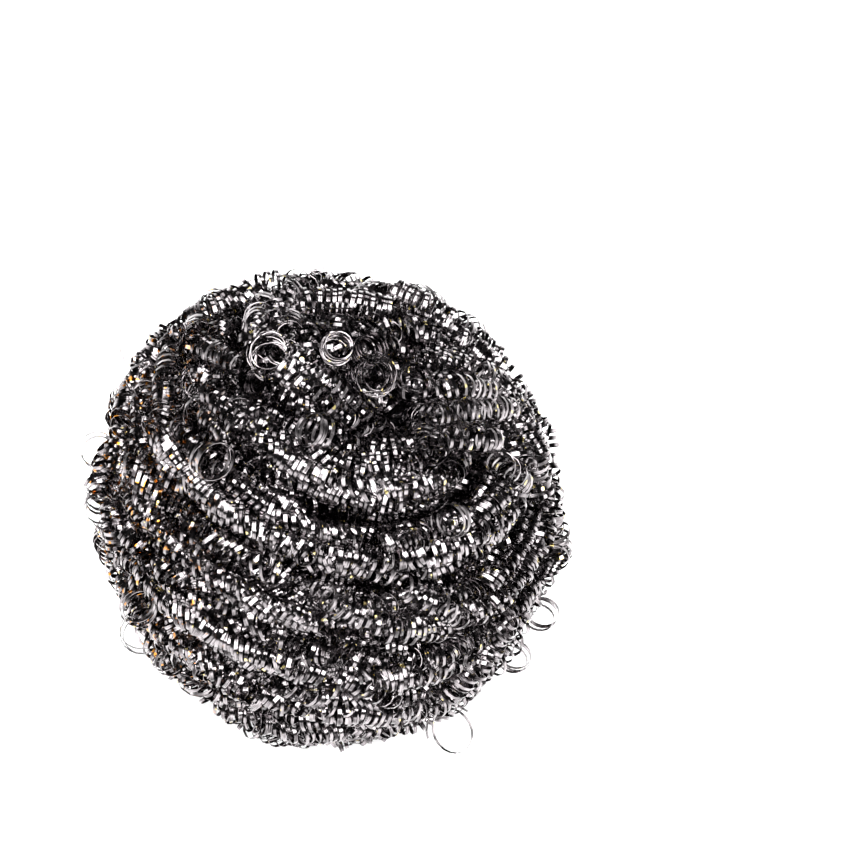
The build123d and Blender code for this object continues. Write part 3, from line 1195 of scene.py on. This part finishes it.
# Where the winding opens between two bundles
OPENINGS = (
    TidyCoil(((-22.1, -0.4), (-12.6, -6.0), (-3.5, -11.9), (3.9, -16.8)), Curls(0, radius=1.5), 2.2),
    TidyCoil(((-17.8, 21.2), (-11.3, 9.6), (-7.4, 4.4)), Curls(0, radius=1.4), 2.2),
    TidyCoil(((4.9, 21.2), (10.8, 19.9), (16.6, 16.7)), Curls(0, radius=2.4), 2.8),
    TidyCoil(((-5.2, 25.0), (2.6, 24.5)), Curls(0, radius=1.5), 2.2),
    TidyCoil(((9.5, 6.7), (16.6, 5.9)), Curls(0, radius=1.5), 2.2),
)


class Lamp(Enum):
    """The studio's soft boxes: name, azimuth, elevation, distance, two sides and power."""

    KEY = ("key_softbox", -38.0, 52.0, 0.7, 0.36, 0.8, 7.6)
    FILL = ("fill_softbox", 46.0, 46.0, 0.7, 0.3, 0.72, 6.3)
    TOP = ("top_softbox", 0.0, 84.0, 0.7, 0.5, 0.5, 5.4)
    BACK = ("back_softbox", 176.0, 46.0, 0.7, 0.56, 0.3, 3.2)


@dataclass
class Studio:
    """The white floor, the soft lamps, the world and the camera.

    Attributes:
        form: The ball.
        distance: How far away the camera stands, in metres.
        pixels_per_mm: The photograph's scale.
        image: Its width and height in pixels.
        middle_x: Where the ball's middle lies in it, from the left.
        middle_y: Where it lies from the top.
        floor_radius: The floor's radius, in metres.
        floor_corners: How many corners the floor has.
        floor_glow: How bright the floor is of itself to the camera and in the steel.
        horizon: The heights between which the world turns from white to dark.
        overhead: How bright the world is overhead.
    """

    form: BallForm
    distance: float = 0.8
    pixels_per_mm: float = 7.7
    image: int = 850
    middle_x: float = 327
    middle_y: float = 513.6
    floor_radius: float = 1.6
    floor_corners: int = 96
    floor_glow: float = 0.35
    horizon: tuple[float, float] = (0.08, 0.16)
    overhead: float = 0.03

    def floor(self) -> None:
        """Makes a white floor that keeps the ball's shadow."""
        mesh = bpy.data.meshes.new("studio_floor")
        turn = np.arange(self.floor_corners) * 2 * np.pi / self.floor_corners
        ring = np.stack([np.cos(turn), np.sin(turn), np.zeros_like(turn)], 1) * self.floor_radius
        mesh.from_pydata(ring.tolist(), [], [list(range(self.floor_corners))])
        floor = linked("studio_floor", mesh)
        made = blank("white_paper_floor")
        tree = made.node_tree
        paper = add(tree, "ShaderNodeBsdfDiffuse", {"Color": linear("#F4F4F4")})
        path = add(tree, "ShaderNodeLightPath").outputs
        seen = add(
            tree, "ShaderNodeMath", {0: path["Is Camera Ray"], 1: path["Is Glossy Ray"]}, operation="ADD"
        )
        through = add(
            tree, "ShaderNodeMath",
            {0: seen.outputs[0], 1: path["Is Transmission Ray"]}, operation="ADD", use_clamp=True,
        )
        level = add(
            tree, "ShaderNodeMath", {0: through.outputs[0], 1: self.floor_glow}, operation="MULTIPLY"
        )
        glow = add(tree, "ShaderNodeEmission", {"Color": (1, 1, 1, 1), "Strength": level.outputs[0]})
        both = add(tree, "ShaderNodeAddShader", {0: paper.outputs[0], 1: glow.outputs[0]})
        add(tree, "ShaderNodeOutputMaterial", {"Surface": both.outputs[0]})
        mesh.materials.append(made)

    def world(self) -> None:
        """Makes a studio that is white at the horizon and darker overhead."""
        world = bpy.data.worlds.new("studio")
        bpy.context.scene.world = world
        world.use_nodes = True
        tree = world.node_tree
        tree.nodes.clear()
        way = add(tree, "ShaderNodeTexCoord")
        parts = add(tree, "ShaderNodeSeparateXYZ", {"Vector": way.outputs["Generated"]})
        start, full = self.horizon
        height = add(
            tree, "ShaderNodeMapRange",
            {
                "Value": parts.outputs["Z"], "From Min": start, "From Max": full,
                "To Min": 1.0, "To Max": self.overhead,
            },
            interpolation_type="SMOOTHSTEP",
        )
        back = add(
            tree, "ShaderNodeBackground", {"Color": (1, 1, 1, 1), "Strength": height.outputs["Result"]}
        )
        add(tree, "ShaderNodeOutputWorld", {"Surface": back.outputs[0]})

    def lamps(self) -> None:
        """Hangs the soft boxes round the ball."""
        middle = self.form.centre * MM
        for lamp in Lamp:
            name, azimuth, elevation, distance, width, height, power = lamp.value
            data = bpy.data.lights.new(name, "AREA")
            data.shape, data.size, data.size_y, data.energy = "RECTANGLE", width, height, power
            turn, lift = math.radians(azimuth), math.radians(elevation)
            level = math.cos(lift)
            way = np.array([math.sin(turn) * level, -math.cos(turn) * level, math.sin(lift)])
            self.aim(linked(name, data), middle + way * distance, way)

    def camera(self) -> None:
        """Sets the camera at the photograph's angle."""
        data = bpy.data.cameras.new("camera")
        data.sensor_width = 36
        data.lens = self.pixels_per_mm / MM * data.sensor_width * self.distance / self.image
        data.shift_x = (self.image / 2 - self.middle_x) / self.image
        data.shift_y = (self.middle_y - self.image / 2) / self.image
        piece = linked("camera", data)
        way = self.form.view
        self.aim(piece, self.form.centre * MM + way * self.distance, way)
        bpy.context.scene.camera = piece

    @staticmethod
    def aim(piece: bpy.types.Object, place: np.ndarray, back: Sequence[float]) -> None:
        """Puts a lamp or camera in place, looking away from a direction."""
        piece.location = place.tolist()
        piece.rotation_euler = Vector(back).to_track_quat("Z", "Y").to_euler()


@dataclass
class OpenCurls:
    """The open curls and the loose tail that stand out of the grooves.

    Attributes:
        form: The ball.
        places: For each open curl its strand, its count of loops from the eye and its diameter.
        tail: The same for the loose tail.
        lean: How far each turns its open side to the photograph's view.
        near: Half the stretch of strand that gives a curl's direction, in loops.
        turns: The fewest and the most turns that an open curl has.
        tail_turns: How many the tail has.
        pitch: The distance from turn to turn.
        steps: How many straight stretches a turn has.
        swell: How far the radius varies, as a share.
        swell_rate: How fast it varies along the turns.
        swell_start: How far apart the curls can be in that.
        seed: The random seed.
    """

    form: BallForm
    places: tuple[tuple[int, float, float], ...] = (
        (1, 0.12, 4.4), (0, 0.41, 5.2), (0, 0.195, 4.4), (3, 0.84, 5.2), (2, 1.02, 4.4),
        (1, 1.145, 4.4), (0, 1.36, 3.8), (2, 0.54, 4.4), (1, 0.8, 4.4), (0, 1.05, 4.4),
        (1, 0.46, 3.8), (2, 0.335, 3.8), (3, 1.72, 5.2),
    )
    tail: tuple[int, float, float] = (0, 1.13, 6.4)
    lean: float = 0.8
    near: float = 0.01
    turns: tuple[float, float] = (2.2, 3.4)
    tail_turns: float = 1.4
    pitch: float = 0.9
    steps: int = 20
    swell: float = 0.1
    swell_rate: float = 0.7
    swell_start: float = 6
    seed: int = 41

    def build(self, finish: bpy.types.Material) -> bpy.types.Object:
        """Makes the curls where the part's source has them.

        Args:
            finish: The ribbon's material.

        Returns:
            The piece.
        """
        rng = np.random.default_rng(self.seed)
        mesh = RibbonMesh(self.form)
        view = self.form.view
        names = [f"side_curl_{n}" for n in range(1, len(self.places) + 1)] + ["loose_tail"]
        for name, (strand, loop, diameter) in zip(names, (*self.places, self.tail)):
            low, high = (np.array(corner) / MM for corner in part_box(name))
            middle = (low + high) / 2
            ends = self.form.winding(strand, np.array([loop - self.near, loop + self.near]))
            way = unit(ends[1] - ends[0])
            way = unit(way + self.lean * np.sign(way @ view) * view)
            out = across(self.form.outward(middle[None])[0], way)
            side = np.cross(way, out)
            turns = self.tail_turns if name == "loose_tail" else rng.uniform(*self.turns)
            spins = np.linspace(-math.pi * turns, math.pi * turns, int(turns * self.steps))
            swell = 1 + self.swell * np.sin(spins * self.swell_rate + rng.uniform(0, self.swell_start))
            radial = np.cos(spins)[:, None] * out + np.sin(spins)[:, None] * side
            along = way * (spins / (2 * math.pi) * self.pitch)[:, None]
            mesh.lay(middle + radial * (diameter / 2 * swell)[:, None] + along, radial)
        piece = mesh.build("open_curls")
        piece.data.materials.append(finish)
        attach(piece, "root")
        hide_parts(*names)
        return piece


def main() -> None:
    """Builds every piece, the studio and the camera."""
    logging.basicConfig(level=logging.INFO, format="%(message)s")
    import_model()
    form = BallForm()
    ribbon = DrawnSteelRibbon().material()
    packed = PackedSteelPaintedShade().material()
    coils = (*COIL_ENDS, *TIDY_COILS)
    pockets = [coil.pocket(form) for coil in coils]
    ropes = [form.rope(number) for number in range(form.rope_count)]
    owners = [min(range(form.rope_count), key=lambda n: ropes[n].gap(line)) for line, _ in pockets]
    pockets += [opening.pocket(form) for opening in OPENINGS]
    pieces = InnerWinding(form, pockets).build(packed, ribbon)
    for number in range(form.rope_count):
        own = [coil for coil, owner in zip(coils, owners) if owner == number]
        pieces += OuterStrand(number + 1, form, own, pockets).build(ribbon)
    pieces.append(OpenCurls(form).build(ribbon))
    for piece in pieces:
        LOG.info("%s: %d faces", piece.name, len(piece.data.polygons))
    studio = Studio(form)
    studio.floor()
    studio.world()
    studio.lamps()
    studio.camera()
    bpy.context.scene.view_settings.view_transform = "Standard"


if __name__ == "__main__":
    main()
